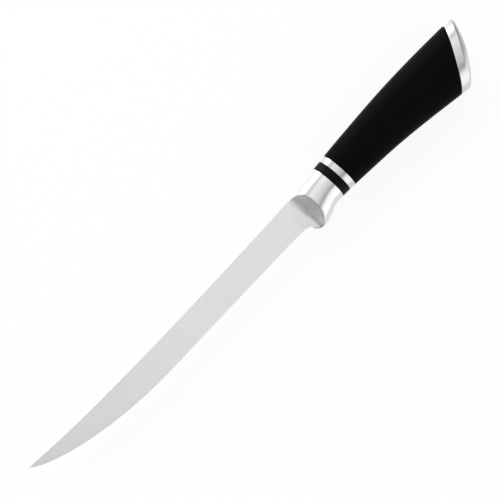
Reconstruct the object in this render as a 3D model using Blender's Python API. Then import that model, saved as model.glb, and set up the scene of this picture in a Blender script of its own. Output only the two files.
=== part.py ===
"""Ham knife lying on its side: upswept blade, scooped bolster, black grip and domed steel end cap.

X runs from the tip to the butt, Y from the edge to the spine and Z through the thickness. Sizes are set
out from the knife's centre line at the front of its bolster, and the whole knife is then moved so that
the origin lies in the middle of its underside.
"""

import math

import bmesh
import bpy
from mathutils import Vector

MM = 0.001

# Clearance between pieces that seat on each other
SEAT_GAP = 0.3 * MM

# Blade outline: places from the bolster or the tip, heights above and depths below the centre line
BLADE_LENGTH = 200.0 * MM
TIP_HEIGHT = 13.4 * MM
TIP_SPINE_SLOPE = -0.115
TIP_EDGE_SLOPE = -0.75
SPINE_SWEEP_FROM_TIP = 80.0 * MM
SPINE_SWEEP_HEIGHT = 8.85 * MM
SPINE_SWEEP_SLOPE = -0.0235
SPINE_LOW_AT = 50.0 * MM
SPINE_LOW_HEIGHT = 8.2 * MM
SPINE_HEEL_HEIGHT = 8.6 * MM
SPINE_HEEL_SLOPE = 0.022
EDGE_POINT_FROM_TIP = 10.8 * MM
EDGE_POINT_HEIGHT = 7.1 * MM
EDGE_POINT_SLOPE = -0.43
EDGE_SWEEP_FROM_TIP = 45.0 * MM
EDGE_SWEEP_DEPTH = 2.62 * MM
EDGE_SWEEP_SLOPE = -0.19
EDGE_BELLY_FROM_TIP = 100.0 * MM
EDGE_BELLY_DEPTH = 7.15 * MM
EDGE_HEEL_AT = 16.0 * MM
EDGE_HEEL_DEPTH = 7.95 * MM
EDGE_HEEL_SLOPE = -0.009
EDGE_END_DEPTH = 9.6 * MM
EDGE_END_SLOPE = -0.24

# Blade section: full stock along the spine, ground down to the edge bevel, left thick at the bolster
BLADE_STOCK = 2.0 * MM
TIP_STOCK = 0.7 * MM
SHOULDER_STOCK = 0.5 * MM
EDGE_BEVEL = 1.2 * MM
SPINE_CHAMFER = 0.2 * MM
MOST_BEVEL_SHARE = 0.35
MOST_CHAMFER_SHARE = 0.1
RICASSO_LENGTH = 5.0 * MM
RICASSO_RELIEF = 0.05 * MM
RICASSO_CHAMFER = 0.5 * MM
TAPER_CURVE = 1.5

# Tang and the threaded stud forked over its end
TANG_HEIGHT = 10.0 * MM
TANG_LENGTH = 70.0 * MM
TANG_AXIS_DEPTH = 1.3 * MM
TANG_RELIEF = 0.1 * MM
STUD_RADIUS = 2.5 * MM
STUD_FORK_LENGTH = 14.0 * MM
STUD_PAST_NUT = 2.0 * MM

# Lengths of the handle's pieces along the centre line, and how far their joints lean
BOLSTER_LENGTH = 23.35 * MM
SPACER_LENGTH = 4.7 * MM
BAND_LENGTH = 3.7 * MM
GRIP_LENGTH = 89.2 * MM
RING_LEAN = -0.025
BUTT_LEAN = math.radians(32.0)

# Upper outline of the handle
BACK_LEVEL_LENGTH = 4.5 * MM
BACK_RISE_AT = 10.0 * MM
BACK_RISE_HEIGHT = 9.45 * MM
BACK_RISE_SLOPE = 0.09
BACK_GRIP_AT = 45.0 * MM
BACK_GRIP_HEIGHT = 11.95 * MM
BACK_GRIP_SLOPE = 0.045
HUMP_FROM_BUTT = 37.0 * MM
HUMP_HEIGHT = 13.25 * MM
HUMP_SLOPE = 0.004
BACK_END_HEIGHT = 12.05 * MM
BACK_END_PAST_BUTT = 8.0 * MM
BACK_END_SLOPE = -0.05

# Lower outline of the handle, from the finger guard to the flared butt
GUARD_AT = 5.0 * MM
GUARD_DEPTH = 14.75 * MM
GUARD_NOSE_REACH = 5.5 * MM
GUARD_NOSE_FULLNESS = 2.1
THROAT_AT = 20.5 * MM
THROAT_DEPTH = 11.15 * MM
BELLY_FRONT_AT = 36.0 * MM
BELLY_FRONT_DEPTH = 11.85 * MM
BELLY_FRONT_SLOPE = -0.08
BELLY_MIDDLE_FROM_BUTT = 52.0 * MM
BELLY_MIDDLE_DEPTH = 14.85 * MM
BELLY_MIDDLE_SLOPE = -0.125
BELLY_END_FROM_BUTT = 7.0 * MM
BELLY_END_DEPTH = 21.75 * MM
BELLY_END_SLOPE = -0.165

# Thickness of the handle, and the fullness of its oval, where 2 is an ellipse
BOLSTER_THICKNESS = 17.6 * MM
BAND_THICKNESS = 18.2 * MM
BAND_FLARE = 0.015
BUTT_THICKNESS = 23.2 * MM
OVAL_FULLNESS = 2.15

# Bolster: its leaning front, and the hollow ground into each side down to a thin front wall
FRONT_LEAN = 0.1
FRONT_LEAN_FADE = 12.0 * MM
FRONT_WALL = 0.4 * MM
SCOOP_START = 0.9 * MM
SCOOP_RADIUS = 4.3 * MM
SCOOP_ANGLE = math.radians(50.0)
SCOOP_LEAN = 0.05

# Grip: a hard core in a soft sleeve, whose neck carries the spacer and the band
SLEEVE_WALL = 2.5 * MM
NECK_HEIGHT = 14.2 * MM
NECK_THICKNESS = 10.4 * MM
NECK_IN_BOLSTER = 7.0 * MM

# Nut and washer, and the room round them in the core's socket
NUT_ACROSS_FLATS = 8.0 * MM
NUT_HEIGHT = 4.0 * MM
NUT_SIDES = 6
WASHER_RADIUS = 5.0 * MM
WASHER_THICKNESS = 1.0 * MM
WASHER_ROOM = 0.5 * MM
SOCKET_DEPTH = 13.0 * MM

# End cap: heights square to its joint, the dome's peak as a share of the way up it, and its two pegs
CAP_CORNER_HEIGHT = 5.8 * MM
CAP_SIDE_DIP = 0.7 * MM
CAP_DOME_HEIGHT = 9.15 * MM
CAP_PEAK_SHARE = 0.545
CAP_SIDE_ROUNDING = 0.8 * MM
CAP_UPPER_ROUNDING = 2.4 * MM
CAP_LOWER_ROUNDING = 1.2 * MM
CAP_WALL = 2.2 * MM
CAP_RECESS = 3.2 * MM
PEG_RADIUS = 1.25 * MM
PEG_LENGTH = 8.0 * MM
PEG_ROOT = 1.0 * MM
UPPER_PEG_HEIGHT = 6.8 * MM
LOWER_PEG_DEPTH = 13.0 * MM

# Fineness of the meshes
RING_POINTS = 48
ROUND_POINTS = 24
BLADE_STEPS = 56
BLADE_STEP_CURVE = 1.25
NOSE_STEPS = 8
NOSE_ZONE = 6.0 * MM
BOLSTER_STEPS = 9
GRIP_STEPS = 16
CORE_STEPS = 8
SCOOP_STEPS = 9
FILLET_STEPS = 3
DOME_STEPS = 6
SOLVER_STEPS = 40
SOLVER_SHARE = 0.6

# How far a cutter runs past what it cuts
CUTTER_REACH = 30.0 * MM

# Places along the centre line that follow from the lengths
SPACER_FRONT = BOLSTER_LENGTH + SEAT_GAP
BAND_FRONT = SPACER_FRONT + SPACER_LENGTH + SEAT_GAP
GRIP_FRONT = BAND_FRONT + BAND_LENGTH + SEAT_GAP
GRIP_END = GRIP_FRONT + GRIP_LENGTH
BUTT_SLOPE = math.tan(BUTT_LEAN)
CAP_FRONT = GRIP_END + SEAT_GAP / math.cos(BUTT_LEAN)
NECK_FRONT = BOLSTER_LENGTH - NECK_IN_BOLSTER
SOCKET_FLOOR = GRIP_END - SOCKET_DEPTH
WASHER_FRONT = SOCKET_FLOOR + SEAT_GAP
NUT_FRONT = WASHER_FRONT + WASHER_THICKNESS + SEAT_GAP
STUD_FRONT = TANG_LENGTH - STUD_FORK_LENGTH
STUD_END = NUT_FRONT + NUT_HEIGHT + STUD_PAST_NUT
TANG_AXIS = -TANG_AXIS_DEPTH

# Outlines as knots of place, height and slope
SPINE_KNOTS = (
    (-BLADE_LENGTH, TIP_HEIGHT, TIP_SPINE_SLOPE),
    (SPINE_SWEEP_FROM_TIP - BLADE_LENGTH, SPINE_SWEEP_HEIGHT, SPINE_SWEEP_SLOPE),
    (-SPINE_LOW_AT, SPINE_LOW_HEIGHT, 0.0),
    (0.0, SPINE_HEEL_HEIGHT, SPINE_HEEL_SLOPE),
)
EDGE_KNOTS = (
    (-BLADE_LENGTH, TIP_HEIGHT, TIP_EDGE_SLOPE),
    (EDGE_POINT_FROM_TIP - BLADE_LENGTH, EDGE_POINT_HEIGHT, EDGE_POINT_SLOPE),
    (EDGE_SWEEP_FROM_TIP - BLADE_LENGTH, -EDGE_SWEEP_DEPTH, EDGE_SWEEP_SLOPE),
    (EDGE_BELLY_FROM_TIP - BLADE_LENGTH, -EDGE_BELLY_DEPTH, 0.0),
    (-EDGE_HEEL_AT, -EDGE_HEEL_DEPTH, EDGE_HEEL_SLOPE),
    (0.0, -EDGE_END_DEPTH, EDGE_END_SLOPE),
)
BACK_KNOTS = (
    (0.0, SPINE_HEEL_HEIGHT, 0.0),
    (BACK_LEVEL_LENGTH, SPINE_HEEL_HEIGHT, 0.0),
    (BACK_RISE_AT, BACK_RISE_HEIGHT, BACK_RISE_SLOPE),
    (BACK_GRIP_AT, BACK_GRIP_HEIGHT, BACK_GRIP_SLOPE),
    (GRIP_END - HUMP_FROM_BUTT, HUMP_HEIGHT, HUMP_SLOPE),
    (GRIP_END + BACK_END_PAST_BUTT, BACK_END_HEIGHT, BACK_END_SLOPE),
)
BELLY_KNOTS = (
    (GUARD_AT, -GUARD_DEPTH, 0.0),
    (THROAT_AT, -THROAT_DEPTH, 0.0),
    (BELLY_FRONT_AT, -BELLY_FRONT_DEPTH, BELLY_FRONT_SLOPE),
    (GRIP_END - BELLY_MIDDLE_FROM_BUTT, -BELLY_MIDDLE_DEPTH, BELLY_MIDDLE_SLOPE),
    (GRIP_END - BELLY_END_FROM_BUTT, -BELLY_END_DEPTH, BELLY_END_SLOPE),
)
SIDE_KNOTS = (
    (0.0, BOLSTER_THICKNESS / 2, 0.0),
    (BAND_FRONT, BAND_THICKNESS / 2, BAND_FLARE),
    (GRIP_END, BUTT_THICKNESS / 2, 0.0),
)


def height_on(knots, x):
    """Height at x of the smooth line through the knots, which runs straight on past its ends."""
    if x <= knots[0][0]:
        return knots[0][1] + knots[0][2] * (x - knots[0][0])
    for (x0, y0, slope0), (x1, y1, slope1) in zip(knots, knots[1:]):
        if x <= x1:
            span = x1 - x0
            t = (x - x0) / span
            leaving = y0 * (1 + 2 * t) + slope0 * span * t
            arriving = y1 * (3 - 2 * t) - slope1 * span * (1 - t)
            return leaving * (1 - t) ** 2 + arriving * t**2
    return knots[-1][1] + knots[-1][2] * (x - knots[-1][0])


def smooth_step(t):
    t = min(max(t, 0.0), 1.0)
    return t * t * (3 - 2 * t)


def handle_low(x):
    """Lower outline of the handle: the rounded nose of the guard, then the belly."""
    if x >= GUARD_AT:
        return height_on(BELLY_KNOTS, x)
    forward = min((GUARD_AT - x) / GUARD_NOSE_REACH, 1.0)
    drop = (1 - forward**GUARD_NOSE_FULLNESS) ** (1 / GUARD_NOSE_FULLNESS)
    return -EDGE_END_DEPTH - (GUARD_DEPTH - EDGE_END_DEPTH) * drop


def handle_point(axis_x, lean, angle, inset=0.0):
    """Point of the handle's skin on the plane through axis_x that leans back by lean."""
    power = 2 / OVAL_FULLNESS
    up = math.copysign(abs(math.cos(angle)) ** power, math.cos(angle))
    side = math.copysign(abs(math.sin(angle)) ** power, math.sin(angle))
    y = 0.0
    for _ in range(SOLVER_STEPS):
        x = axis_x + lean * y
        top = height_on(BACK_KNOTS, x) - inset
        low = handle_low(x) + inset
        y += SOLVER_SHARE * ((top + low) / 2 + up * (top - low) / 2 - y)
    x = axis_x + lean * y
    return Vector((x, y, side * (height_on(SIDE_KNOTS, x) - inset)))


def ring_angles(count=RING_POINTS):
    return [2 * math.pi * step / count for step in range(count)]


def handle_ring(axis_x, lean, inset=0.0):
    return [handle_point(axis_x, lean, angle, inset) for angle in ring_angles()]


def neck_ring(axis_x, lean, clearance=0.0):
    """Oval of the core's neck, grown by a clearance for what it passes through."""
    ring = []
    for angle in ring_angles():
        y = TANG_AXIS + (NECK_HEIGHT / 2 + clearance) * math.cos(angle)
        z = (NECK_THICKNESS / 2 + clearance) * math.sin(angle)
        ring.append(Vector((axis_x + lean * y, y, z)))
    return ring


def spread(start, end, steps):
    """Evenly spaced values from start to end, both included."""
    return [start + (end - start) * step / steps for step in range(steps + 1)]


def skin(rings, wrap=False, pole=None):
    """Closed body through rings of equal count: wrapped round a bore, capped, or drawn to a pole."""
    body = bmesh.new()
    loops = [[body.verts.new(point) for point in ring] for ring in rings]
    pairs = list(zip(loops, loops[1:]))
    if wrap:
        pairs.append((loops[-1], loops[0]))
    for near, far in pairs:
        for i, point in enumerate(near):
            j = (i + 1) % len(near)
            body.faces.new((point, near[j], far[j], far[i]))
    if not wrap:
        body.faces.new(loops[0])
    if pole is not None:
        peak = body.verts.new(pole)
        for i, point in enumerate(loops[-1]):
            body.faces.new((point, loops[-1][(i + 1) % len(loops[-1])], peak))
    elif not wrap:
        body.faces.new(loops[-1])
    return body


def prism(outline, direction):
    """A flat outline swept straight along a direction."""
    body = bmesh.new()
    face = body.faces.new([body.verts.new(point) for point in outline])
    swept = bmesh.ops.extrude_face_region(body, geom=[face], use_keep_orig=True)
    moved = [part for part in swept["geom"] if isinstance(part, bmesh.types.BMVert)]
    bmesh.ops.translate(body, verts=moved, vec=direction)
    return body


def round_bar(start_x, end_x, y, radius, sides=ROUND_POINTS):
    """A cylinder along X, or with few sides a prism."""
    body = bmesh.new()
    bmesh.ops.create_cone(
        body,
        cap_ends=True,
        segments=sides,
        radius1=radius,
        radius2=radius,
        depth=end_x - start_x,
    )
    turn = Vector((0, 0, 1)).rotation_difference(Vector((1, 0, 0))).to_matrix()
    bmesh.ops.rotate(body, verts=body.verts, matrix=turn)
    bmesh.ops.translate(body, verts=body.verts, vec=Vector(((start_x + end_x) / 2, y, 0)))
    return body


def flat_bar(start_x, end_x, height, thickness):
    """A flat bar along X on the tang's axis."""
    body = bmesh.new()
    bmesh.ops.create_cube(body, size=1.0)
    bmesh.ops.scale(body, verts=body.verts, vec=Vector((end_x - start_x, height, thickness)))
    bmesh.ops.translate(body, verts=body.verts, vec=Vector(((start_x + end_x) / 2, TANG_AXIS, 0)))
    return body


def new_object(name, body, collection):
    """Turns a bmesh into an object of the collection, with its faces pointing out."""
    bmesh.ops.recalc_face_normals(body, faces=body.faces)
    mesh = bpy.data.meshes.new(name)
    body.to_mesh(mesh)
    body.free()
    made = bpy.data.objects.new(name, mesh)
    collection.objects.link(made)
    return made


def combine(target, name, body, operation, helpers):
    """Cuts a body from the target, or joins it on, and keeps it as a hidden helper of the target."""
    helper = new_object(name, body, helpers)
    helper.hide_render = True
    helper.display_type = "WIRE"
    helper.parent = target
    boolean = target.modifiers.new(name, "BOOLEAN")
    boolean.operation = operation
    boolean.solver = "EXACT"
    boolean.object = helper


def finish(piece, root, material, sharp_angle=None):
    """Gives a piece its material and shading, and its place under the knife's root."""
    piece.data.materials.append(material)
    piece.parent = root
    if sharp_angle is not None:
        piece.data.shade_smooth()
        piece.data.set_sharp_from_angle(angle=math.radians(sharp_angle))


def make_material(name, colour, roughness, metallic):
    material = bpy.data.materials.new(name)
    material.use_nodes = True
    shader = material.node_tree.nodes["Principled BSDF"]
    shader.inputs["Base Color"].default_value = (*colour, 1.0)
    shader.inputs["Roughness"].default_value = roughness
    shader.inputs["Metallic"].default_value = metallic
    return material


def blade_section(axis_x):
    """Section of the blade: chamfered spine, ground sides, shoulders of the edge bevel, and the edge."""
    ricasso = smooth_step(1 + axis_x / RICASSO_LENGTH)
    lean = FRONT_LEAN * ricasso
    top = edge = 0.0
    for _ in range(SOLVER_STEPS):
        top = height_on(SPINE_KNOTS, axis_x + lean * top)
        edge = height_on(EDGE_KNOTS, axis_x + lean * edge)
    belly_place = EDGE_BELLY_FROM_TIP - BLADE_LENGTH
    taper = max((belly_place - axis_x) / EDGE_BELLY_FROM_TIP, 0.0) ** TAPER_CURVE
    spine_half = (BLADE_STOCK + (TIP_STOCK - BLADE_STOCK) * taper) / 2
    ground_half = SHOULDER_STOCK / 2 * spine_half / (BLADE_STOCK / 2)
    thick_half = BLADE_STOCK / 2 - RICASSO_RELIEF
    shoulder_half = ground_half + (thick_half - ground_half) * ricasso
    bevel = EDGE_BEVEL + (RICASSO_CHAMFER - EDGE_BEVEL) * ricasso
    shoulder = edge + min(bevel, MOST_BEVEL_SHARE * (top - edge))
    chamfer = min(SPINE_CHAMFER, MOST_CHAMFER_SHARE * (top - edge))
    near_side = [
        (top, spine_half - chamfer),
        (top - chamfer, spine_half),
        (shoulder, shoulder_half),
    ]
    far_side = [(y, -z) for y, z in reversed(near_side)]
    outline = near_side + [(edge, 0.0)] + far_side
    return [Vector((axis_x + lean * y, y, z)) for y, z in outline]


def tang_bar(start_x, end_x, clearance=0.0):
    """The tang, or with a clearance the slot for it."""
    height = TANG_HEIGHT + 2 * clearance
    thickness = BLADE_STOCK - 2 * TANG_RELIEF + 2 * clearance
    return flat_bar(start_x, end_x, height, thickness)


def make_blade(parts, helpers):
    """Blade with a tapering ground section, swept up to its tip, and its stick tang."""
    length = BLADE_LENGTH - SEAT_GAP
    shares = [1 - (1 - step / BLADE_STEPS) ** BLADE_STEP_CURVE for step in range(BLADE_STEPS)]
    rings = [blade_section(-SEAT_GAP - length * share) for share in shares]
    tip = Vector((-BLADE_LENGTH, TIP_HEIGHT, 0.0))
    blade = new_object("blade", skin(rings, pole=tip), parts)
    tang_start = -SEAT_GAP - FRONT_LEAN * TANG_HEIGHT
    combine(blade, "tang_bar", tang_bar(tang_start, TANG_LENGTH), "UNION", helpers)
    return blade


def scoop_outline(side):
    """Plan of what is ground off one side of the bolster: level, an arc, then a ramp outwards."""
    front_half = BLADE_STOCK / 2 - TANG_RELIEF + SEAT_GAP + FRONT_WALL
    outer = front_half + CUTTER_REACH
    points = [(-CUTTER_REACH, outer), (-CUTTER_REACH, front_half)]
    for turn in spread(0.0, SCOOP_ANGLE, SCOOP_STEPS):
        x = SCOOP_START + SCOOP_RADIUS * math.sin(turn)
        z = front_half + SCOOP_RADIUS * (1 - math.cos(turn))
        points.append((x, z))
    ramp_x, ramp_z = points[-1]
    points.append((ramp_x + (outer - ramp_z) / math.tan(SCOOP_ANGLE), outer))
    return [Vector((x, 0.0, side * z)) for x, z in points]


def scoop(side):
    """Cutter for one side, which leans less than the bolster's front."""
    across = Vector((SCOOP_LEAN, 1.0, 0.0)).normalized() * CUTTER_REACH
    body = prism(scoop_outline(side), 2 * across)
    bmesh.ops.translate(body, verts=body.verts, vec=-across)
    return body


def make_bolster(parts, helpers):
    """Oval bolster with a finger guard, a hollow in each side, a tang slot and a rear socket."""
    places = [NOSE_ZONE * share**2 for share in spread(0.0, 1.0, NOSE_STEPS)]
    places += spread(NOSE_ZONE, BOLSTER_LENGTH, BOLSTER_STEPS)[1:]
    rings = []
    for x in places:
        front_share = max(1 - x / FRONT_LEAN_FADE, 0.0)
        rings.append(handle_ring(x, RING_LEAN + (FRONT_LEAN - RING_LEAN) * front_share))
    bolster = new_object("bolster", skin(rings), parts)
    combine(bolster, "scoop_upper", scoop(1), "DIFFERENCE", helpers)
    combine(bolster, "scoop_lower", scoop(-1), "DIFFERENCE", helpers)
    socket_ends = (NECK_FRONT - SEAT_GAP, BOLSTER_LENGTH + CUTTER_REACH)
    socket = skin([neck_ring(x, 0.0, SEAT_GAP) for x in socket_ends])
    combine(bolster, "neck_socket", socket, "DIFFERENCE", helpers)
    slot = tang_bar(-CUTTER_REACH, BOLSTER_LENGTH, SEAT_GAP)
    combine(bolster, "bolster_tang_slot", slot, "DIFFERENCE", helpers)
    return bolster


def make_collar(name, front, length, parts):
    """Ring of the handle's own oval, round the core's neck."""
    rear = front + length
    outer = [handle_ring(front, RING_LEAN), handle_ring(rear, RING_LEAN)]
    inner = [neck_ring(rear, RING_LEAN, SEAT_GAP), neck_ring(front, RING_LEAN, SEAT_GAP)]
    return new_object(name, skin(outer + inner, wrap=True), parts)


def grip_stations(steps):
    """Planes through the grip, which lean more and more towards the butt."""
    stations = []
    for share in spread(0.0, 1.0, steps):
        lean = RING_LEAN + (BUTT_SLOPE - RING_LEAN) * share
        stations.append((GRIP_FRONT + GRIP_LENGTH * share, lean))
    return stations


def make_sleeve(parts):
    """Soft outer grip, an open tube of even wall."""
    stations = grip_stations(GRIP_STEPS)
    outer = [handle_ring(x, lean) for x, lean in stations]
    inner = [handle_ring(x, lean, SLEEVE_WALL) for x, lean in reversed(stations)]
    return new_object("grip_sleeve", skin(outer + inner, wrap=True), parts)


def peg_spans():
    """Height, start and end of each peg, which crosses the leaning joint parallel to the knife."""
    spans = []
    for y in (UPPER_PEG_HEIGHT, -LOWER_PEG_DEPTH):
        joint_x = CAP_FRONT + BUTT_SLOPE * y
        root_x = joint_x + CAP_RECESS / math.cos(BUTT_LEAN) + PEG_ROOT
        spans.append((y, joint_x - PEG_LENGTH, root_x))
    return spans


def make_core(parts, helpers):
    """Hard core: neck, body, tang slot, stud bore, nut socket and the holes for the cap's pegs."""
    inset = SLEEVE_WALL + SEAT_GAP
    rings = [neck_ring(NECK_FRONT, 0.0), neck_ring(GRIP_FRONT, RING_LEAN)]
    rings += [handle_ring(x, lean, inset) for x, lean in grip_stations(CORE_STEPS)]
    core = new_object("grip_core", skin(rings), parts)
    slot = tang_bar(NECK_FRONT - CUTTER_REACH, TANG_LENGTH + SEAT_GAP, SEAT_GAP)
    combine(core, "core_tang_slot", slot, "DIFFERENCE", helpers)
    bore_radius = STUD_RADIUS + SEAT_GAP
    bore = round_bar(STUD_FRONT - SEAT_GAP, SOCKET_FLOOR + SEAT_GAP, TANG_AXIS, bore_radius)
    combine(core, "stud_bore", bore, "DIFFERENCE", helpers)
    socket_radius = WASHER_RADIUS + WASHER_ROOM
    socket = round_bar(SOCKET_FLOOR, GRIP_END + CUTTER_REACH, TANG_AXIS, socket_radius)
    combine(core, "nut_socket", socket, "DIFFERENCE", helpers)
    for number, (y, end_x, root_x) in enumerate(peg_spans(), start=1):
        hole = round_bar(end_x - SEAT_GAP, root_x + CUTTER_REACH, y, PEG_RADIUS + SEAT_GAP)
        combine(core, f"peg_hole_{number}", hole, "DIFFERENCE", helpers)
    return core


def make_stud(parts, helpers):
    """Threaded stud whose forked front straddles the end of the tang."""
    bar = round_bar(STUD_FRONT, STUD_END, TANG_AXIS, STUD_RADIUS)
    stud = new_object("tang_stud", bar, parts)
    slot = tang_bar(STUD_FRONT - CUTTER_REACH, TANG_LENGTH + SEAT_GAP, SEAT_GAP)
    combine(stud, "stud_fork", slot, "DIFFERENCE", helpers)
    return stud


def bore_for_stud(piece, name, helpers):
    """Bores a washer or a nut out for the stud that passes through it."""
    bore = round_bar(STUD_FRONT, STUD_END + CUTTER_REACH, TANG_AXIS, STUD_RADIUS + SEAT_GAP)
    combine(piece, name, bore, "DIFFERENCE", helpers)


def make_washer(parts, helpers):
    rear = WASHER_FRONT + WASHER_THICKNESS
    disc = round_bar(WASHER_FRONT, rear, TANG_AXIS, WASHER_RADIUS)
    washer = new_object("nut_washer", disc, parts)
    bore_for_stud(washer, "washer_bore", helpers)
    return washer


def make_nut(parts, helpers):
    corner_radius = NUT_ACROSS_FLATS / 2 / math.cos(math.pi / NUT_SIDES)
    hexagon = round_bar(NUT_FRONT, NUT_FRONT + NUT_HEIGHT, TANG_AXIS, corner_radius, NUT_SIDES)
    nut = new_object("tang_nut", hexagon, parts)
    bore_for_stud(nut, "nut_bore", helpers)
    return nut


def cap_wall_point(height, angle, inset=0.0):
    """Point of the handle's skin at a height square to the cap's joint."""
    return handle_point(CAP_FRONT + height / math.cos(BUTT_LEAN), BUTT_SLOPE, angle, inset)


def cap_column(angle, middle, normal):
    """Points up one side of the cap: the wall, the rounded ridge, then the dome towards the middle."""
    corner = math.cos(angle) ** 2
    ridge_height = CAP_CORNER_HEIGHT - CAP_SIDE_DIP * (1 - corner)
    end_rounding = CAP_UPPER_ROUNDING if math.cos(angle) > 0 else CAP_LOWER_ROUNDING
    rounding = CAP_SIDE_ROUNDING + (end_rounding - CAP_SIDE_ROUNDING) * corner
    ridge = cap_wall_point(ridge_height, angle)
    across = ridge - middle
    across -= normal * across.dot(normal)

    def dome(share):
        height = CAP_DOME_HEIGHT - (CAP_DOME_HEIGHT - ridge_height) * share**2
        return middle + across * share + normal * height

    wall_end = cap_wall_point(ridge_height - rounding, angle)
    dome_start = 1 - rounding / across.length
    column = [cap_wall_point(0.0, angle)]
    for t in spread(0.0, 1.0, FILLET_STEPS):
        turn = wall_end * (1 - t) ** 2 + ridge * 2 * t * (1 - t) + dome(dome_start) * t**2
        column.append(turn)
    for share in spread(dome_start, 0.0, DOME_STEPS)[1:-1]:
        column.append(dome(share))
    return column


def make_cap(parts, helpers):
    """Hollow end cap: side wall in line with the grip, a ridge, a domed end and two pegs."""
    normal = Vector((math.cos(BUTT_LEAN), -math.sin(BUTT_LEAN), 0.0))
    middle = cap_wall_point(0.0, math.pi).lerp(cap_wall_point(0.0, 0.0), CAP_PEAK_SHARE)
    columns = [cap_column(angle, middle, normal) for angle in ring_angles()]
    floor = [cap_wall_point(CAP_RECESS, angle, CAP_WALL) for angle in ring_angles()]
    rim = [cap_wall_point(0.0, angle, CAP_WALL) for angle in ring_angles()]
    rings = [floor, rim] + [list(ring) for ring in zip(*columns)]
    cap = new_object("end_cap", skin(rings, pole=middle + normal * CAP_DOME_HEIGHT), parts)
    for number, (y, end_x, root_x) in enumerate(peg_spans(), start=1):
        peg = round_bar(end_x, root_x, y, PEG_RADIUS)
        combine(cap, f"cap_peg_{number}", peg, "UNION", helpers)
    return cap


def rest_on_origin(root, pieces):
    """Moves the root so that the origin is in the middle of the knife's underside."""
    bpy.context.view_layer.update()
    graph = bpy.context.evaluated_depsgraph_get()
    corners = []
    for piece in pieces:
        evaluated = piece.evaluated_get(graph)
        corners += [evaluated.matrix_world @ Vector(corner) for corner in evaluated.bound_box]
    low = Vector(min(corner[axis] for corner in corners) for axis in range(3))
    high = Vector(max(corner[axis] for corner in corners) for axis in range(3))
    root.location = (-(low.x + high.x) / 2, -(low.y + high.y) / 2, -low.z)


def main():
    for old in list(bpy.data.objects):
        bpy.data.objects.remove(old)
    parts = bpy.data.collections.new("Ham knife")
    helpers = bpy.data.collections.new("Cutters")
    bpy.context.scene.collection.children.link(parts)
    bpy.context.scene.collection.children.link(helpers)
    root = bpy.data.objects.new("knife_root", None)
    parts.objects.link(root)

    blade_steel = make_material("Satin blade steel", (0.72, 0.73, 0.74), 0.36, 1.0)
    polished_steel = make_material("Polished steel", (0.78, 0.78, 0.79), 0.12, 1.0)
    zinc_steel = make_material("Plated steel", (0.6, 0.6, 0.62), 0.35, 1.0)
    black_spacer = make_material("Black spacer plastic", (0.012, 0.012, 0.013), 0.3, 0.0)
    black_core = make_material("Black core plastic", (0.03, 0.03, 0.03), 0.5, 0.0)
    black_grip = make_material("Soft black grip", (0.008, 0.008, 0.009), 0.62, 0.0)

    pieces = [
        (make_blade(parts, helpers), blade_steel, None),
        (make_bolster(parts, helpers), polished_steel, 35),
        (make_collar("spacer_ring", SPACER_FRONT, SPACER_LENGTH, parts), black_spacer, 35),
        (make_collar("steel_band", BAND_FRONT, BAND_LENGTH, parts), polished_steel, 35),
        (make_sleeve(parts), black_grip, 35),
        (make_core(parts, helpers), black_core, 35),
        (make_stud(parts, helpers), zinc_steel, 35),
        (make_washer(parts, helpers), zinc_steel, 35),
        (make_nut(parts, helpers), zinc_steel, 25),
        (make_cap(parts, helpers), polished_steel, 25),
    ]
    for piece, material, sharp_angle in pieces:
        finish(piece, root, material, sharp_angle)
    rest_on_origin(root, [piece for piece, _, _ in pieces])


main()
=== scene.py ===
"""Looks of the ham knife.

A satin blade, a scooped polished bolster, a black spacer, a polished band, a soft grip and a domed cap.
Outlines are in millimetres, set out from the knife's centre line at the front of its bolster.
A finish has its darkest and lightest colour, its smoothest and roughest value, counts of noise per
millimetre and a relief in millimetres. Floor, lamps, tent, camera distance and view width are in metres.
"""

import math

import bpy
import numpy as np
from mathutils import Matrix, Vector


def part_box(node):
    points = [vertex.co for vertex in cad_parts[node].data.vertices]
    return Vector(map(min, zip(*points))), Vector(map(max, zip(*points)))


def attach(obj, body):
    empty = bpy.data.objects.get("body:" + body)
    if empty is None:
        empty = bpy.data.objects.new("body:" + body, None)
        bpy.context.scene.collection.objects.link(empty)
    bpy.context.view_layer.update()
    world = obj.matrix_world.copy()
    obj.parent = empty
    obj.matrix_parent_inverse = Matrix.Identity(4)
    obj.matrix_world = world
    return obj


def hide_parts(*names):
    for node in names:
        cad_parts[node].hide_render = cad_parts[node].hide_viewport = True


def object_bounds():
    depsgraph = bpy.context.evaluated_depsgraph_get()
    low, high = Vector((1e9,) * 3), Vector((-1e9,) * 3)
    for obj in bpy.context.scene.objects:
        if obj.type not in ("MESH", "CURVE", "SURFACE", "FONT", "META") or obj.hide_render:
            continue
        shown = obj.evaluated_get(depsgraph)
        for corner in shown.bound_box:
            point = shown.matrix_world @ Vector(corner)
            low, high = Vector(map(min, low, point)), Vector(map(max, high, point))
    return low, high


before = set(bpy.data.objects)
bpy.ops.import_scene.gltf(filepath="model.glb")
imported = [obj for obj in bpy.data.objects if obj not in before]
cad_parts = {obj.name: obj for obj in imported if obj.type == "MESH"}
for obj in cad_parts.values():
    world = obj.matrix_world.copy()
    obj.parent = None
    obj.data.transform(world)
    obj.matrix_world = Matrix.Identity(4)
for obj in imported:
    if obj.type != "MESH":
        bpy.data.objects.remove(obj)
cad_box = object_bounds()

MM = 0.001

# Room between seated pieces in the CAD, and the fine joint that shows here
CAD_GAP = 0.3
JOINT = 0.06
JOINT_REACH = (CAD_GAP - JOINT) / 2

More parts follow.
